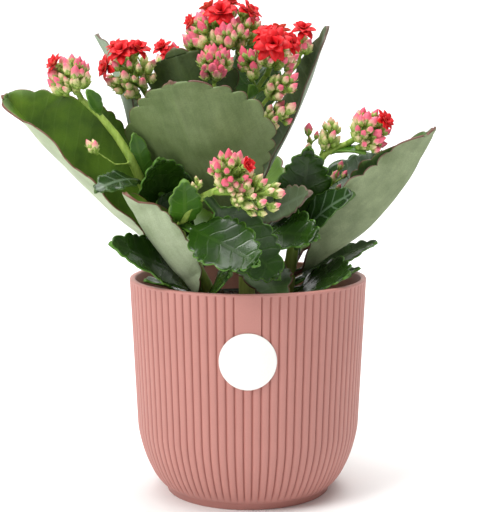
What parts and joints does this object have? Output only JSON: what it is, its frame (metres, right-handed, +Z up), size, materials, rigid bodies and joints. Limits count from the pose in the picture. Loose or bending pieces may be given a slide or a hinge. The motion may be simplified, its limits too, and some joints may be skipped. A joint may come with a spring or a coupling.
{
  "type": "potted kalanchoe",
  "caption": "Flowering kalanchoe with broad scalloped succulent leaves and small double red flowers in clusters, in a nursery pot inside a ribbed round cover pot with a blank round label.",
  "frame": {"origin": "centre of the cover pot's flat underside, where it stands", "axes": "+Z up along the pot's axis, -Y towards the front with the label, +X to the right as seen from the front"},
  "size_m": [0.245, 0.1957, 0.2894],
  "materials": {
    "cover_pot": "satin",
    "label": "satin",
    "nursery_pot": "satin",
    "soil": "matte",
    "stem": "satin",
    "leaf": "satin",
    "flowers": "matte"
  },
  "bodies": {
    "root": {"bract_centre": "leaf", "bract_front": "leaf", "bract_left_stem": "leaf", "bract_left_top": "leaf", "bract_right": "leaf", "cover_pot": "cover_pot", "flowers_centre_left": "flowers", "flowers_centre_mid": "flowers", "flowers_centre_right": "flowers", "flowers_front": "flowers", "flowers_front_right": "flowers", "flowers_front_small": "flowers", "flowers_left": "flowers", "flowers_left_small": "flowers", "flowers_right": "flowers", "flowers_right_inner": "flowers", "flowers_right_low": "flowers", "flowers_right_lower": "flowers", "flowers_right_mid": "flowers", "flowers_right_side": "flowers", "flowers_right_upper": "flowers", "flowers_top": "flowers", "flowers_upper_left": "flowers", "flowers_upper_mid": "flowers", "leaf_back_centre": "leaf", "leaf_back_left": "leaf", "leaf_back_low": "leaf", "leaf_back_right": "leaf", "leaf_back_spike": "leaf", "leaf_centre_back": "leaf", "leaf_centre_grey": "leaf", "leaf_centre_large": "leaf", "leaf_centre_low": "leaf", "leaf_front_dark": "leaf", "leaf_front_hanging": "leaf", "leaf_front_low": "leaf", "leaf_front_pale": "leaf", "leaf_front_round": "leaf", "leaf_front_under": "leaf", "leaf_left_large": "leaf", "leaf_left_low": "leaf", "leaf_left_rim": "leaf", "leaf_left_upright": "leaf", "leaf_left_veined": "leaf", "leaf_right_back": "leaf", "leaf_right_broad": "leaf", "leaf_right_large": "leaf", "leaf_right_low": "leaf", "leaf_right_tall": "leaf", "leaf_right_veined": "leaf", "leaf_rim_right": "leaf", "leaf_rim_small": "leaf", "leaf_top_back": "leaf", "nursery_pot": "nursery_pot", "pot_label": "label", "soil": "soil", "stem_centre": "stem", "stem_front": "stem", "stem_left": "stem", "stem_right": "stem"}
  },
  "joints": []
}
